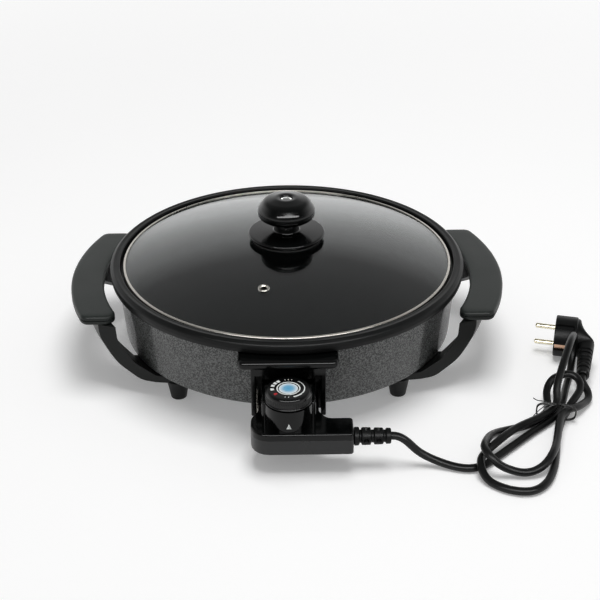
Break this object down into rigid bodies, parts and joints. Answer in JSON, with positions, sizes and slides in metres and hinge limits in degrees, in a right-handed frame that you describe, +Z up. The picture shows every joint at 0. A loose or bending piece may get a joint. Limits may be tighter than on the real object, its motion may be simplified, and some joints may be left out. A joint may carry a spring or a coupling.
{
  "type": "electric skillet",
  "caption": "Round electric skillet: non-stick pan with a lift-off glass lid, arched side handles on feet, and a dial controller that pulls out of its socket, with a tied cord and plug.",
  "frame": {"origin": "on the table, under the middle of the bounding box of everything but the cord and plug", "axes": "+Z up, -Y towards the controller, +X towards the side where the cord lies; the pan's axis is 28 mm behind the origin"},
  "size_m": [0.5073, 0.4333, 0.1556],
  "materials": {
    "nonstick_black": "non-stick coating, satin",
    "hammered_grey": "hammered enamel, satin",
    "plate_aluminium": "mill",
    "heater_steel": "heat-dulled",
    "bright_steel": "polished",
    "zinc_steel": "zinc plated",
    "ceramic_white": "matt ceramic",
    "brass_strip": "bright",
    "bakelite_gloss": "gloss",
    "bakelite_satin": "satin",
    "case_satin": "satin",
    "foot_rubber": "matt",
    "smoked_glass": "clear, polished",
    "cord_black": "satin",
    "dial_print": "printed foil"
  },
  "bodies": {
    "skillet": {"cooking_pan": "nonstick_black", "drum": "hammered_grey", "base_plate": "plate_aluminium", "heating_tube": "heater_steel", "terminal_pins": "bright_steel", "pin_insulators": "ceramic_white", "socket_hood": "bakelite_gloss", "hood_screws": "zinc_steel", "earth_blade": "brass_strip", "grip_left": "bakelite_satin", "grip_right": "bakelite_satin", "bracket_left": "bakelite_satin", "bracket_right": "bakelite_satin", "grip_screws": "zinc_steel", "foot_front_left": "foot_rubber", "foot_front_right": "foot_rubber", "foot_rear_left": "foot_rubber", "foot_rear_right": "foot_rubber", "foot_screws": "zinc_steel"},
    "lid": {"lid_glass": "smoked_glass", "lid_band": "bright_steel", "steam_eyelet": "bright_steel", "knob_foot": "bakelite_gloss", "knob_head": "bakelite_gloss", "knob_gasket": "foot_rubber", "knob_screw": "bright_steel", "knob_washer": "zinc_steel", "knob_nut": "zinc_steel"},
    "controller": {"controller_cover": "bakelite_gloss", "controller_base": "case_satin", "controller_screws": "zinc_steel", "probe_tube": "bright_steel", "pin_sockets": "brass_strip", "thermostat_frame": "plate_aluminium", "contact_blades": "brass_strip", "contact_spacers": "ceramic_white", "earth_springs": "brass_strip", "cord_clamp": "case_satin", "strain_relief": "cord_black", "mains_cord": "cord_black", "cord_tie": "cord_black", "plug_body": "cord_black", "plug_pins": "brass_strip", "plug_earth_clips": "brass_strip"},
    "dial": {"dial_knob": "bakelite_gloss", "dial_disc": "dial_print", "dial_shaft": "brass_strip"}
  },
  "joints": [
    {"name": "lid_lift", "type": "slide", "parent": "skillet", "child": "lid", "axis": [0, 0, 1], "range_m": [0, 0.1]},
    {"name": "controller_pull", "type": "slide", "parent": "skillet", "child": "controller", "axis": [0, -1, 0], "range_m": [0, 0.06]},
    {"name": "dial_turn", "type": "hinge", "parent": "controller", "child": "dial", "pos_m": [0, -0.175, 0.066], "axis": [0, 0, 1], "range_deg": [0, 270]}
  ]
}
